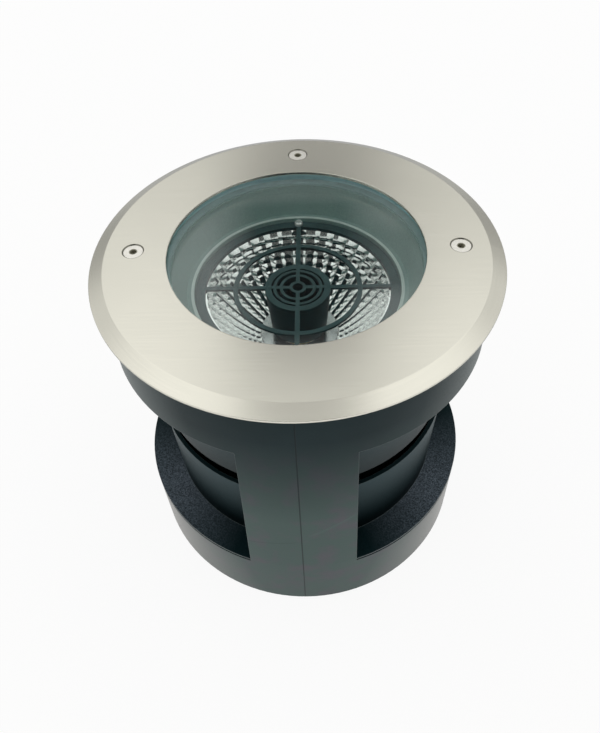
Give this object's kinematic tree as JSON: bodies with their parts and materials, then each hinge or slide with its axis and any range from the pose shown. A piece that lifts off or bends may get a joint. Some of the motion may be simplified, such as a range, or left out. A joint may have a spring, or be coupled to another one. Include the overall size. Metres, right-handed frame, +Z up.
{
  "type": "recessed ground light",
  "caption": "Round recessed ground light: a brushed steel trim ring and thick glass over a louvred reflector, in a glazed lamp that lifts out of a windowed black mounting sleeve.",
  "frame": {"origin": "centre of the sleeve's foot, on the surface that the light stands on", "axes": "+Z up along the lamp's axis to the glass, -Y towards the front post of the sleeve"},
  "size_m": [0.2, 0.2, 0.1912],
  "materials": {
    "sleeve_plastic": "satin moulded black plastic",
    "trim_steel": "brushed stainless steel",
    "trim_screw_steel": "plain stainless steel",
    "lens_glass": "clear toughened glass with a green tint",
    "gasket_rubber": "grey silicone rubber",
    "housing_coat": "black powder coat on cast aluminium",
    "reflector_mirror": "bright faceted aluminium",
    "shield_plastic": "matt black plastic",
    "small_screw_steel": "bright plated steel",
    "pad_silicone": "grey thermal pad",
    "board_metal": "metal-core board",
    "emitter_phosphor": "yellow phosphor gel",
    "holder_plastic": "white plastic",
    "driver_case": "pale grey plastic",
    "lead_insulation": "coloured wire insulation",
    "terminal_plastic": "cream plastic",
    "seal_rubber": "black rubber",
    "gland_plastic": "black nylon"
  },
  "bodies": {
    "sleeve": {"mounting_sleeve": "sleeve_plastic"},
    "lamp": {"cover_glass": "lens_glass", "glass_gasket": "gasket_rubber", "lamp_housing": "housing_coat", "reflector": "reflector_mirror", "glare_shield": "shield_plastic", "shield_screws": "small_screw_steel", "thermal_pad": "pad_silicone", "led_board": "board_metal", "led_emitter": "emitter_phosphor", "led_holder": "holder_plastic", "holder_screws": "small_screw_steel", "led_driver": "driver_case", "driver_screws": "small_screw_steel", "led_leads": "lead_insulation", "supply_leads": "lead_insulation", "terminal_block": "terminal_plastic", "rear_gasket": "seal_rubber", "rear_cover": "housing_coat", "rear_screws": "small_screw_steel", "gland_washer": "seal_rubber", "gland_body": "gland_plastic", "gland_locknut": "gland_plastic", "gland_bush": "seal_rubber", "gland_nut": "gland_plastic"},
    "cover": {"trim_ring": "trim_steel", "trim_screws": "trim_screw_steel"}
  },
  "joints": [
    {"name": "lamp_lift", "type": "slide", "parent": "sleeve", "child": "lamp", "axis": [0, 0, 1], "range_m": [0, 0.18]},
    {"name": "cover_lift", "type": "slide", "parent": "lamp", "child": "cover", "axis": [0, 0, 1], "range_m": [0, 0.05]}
  ]
}
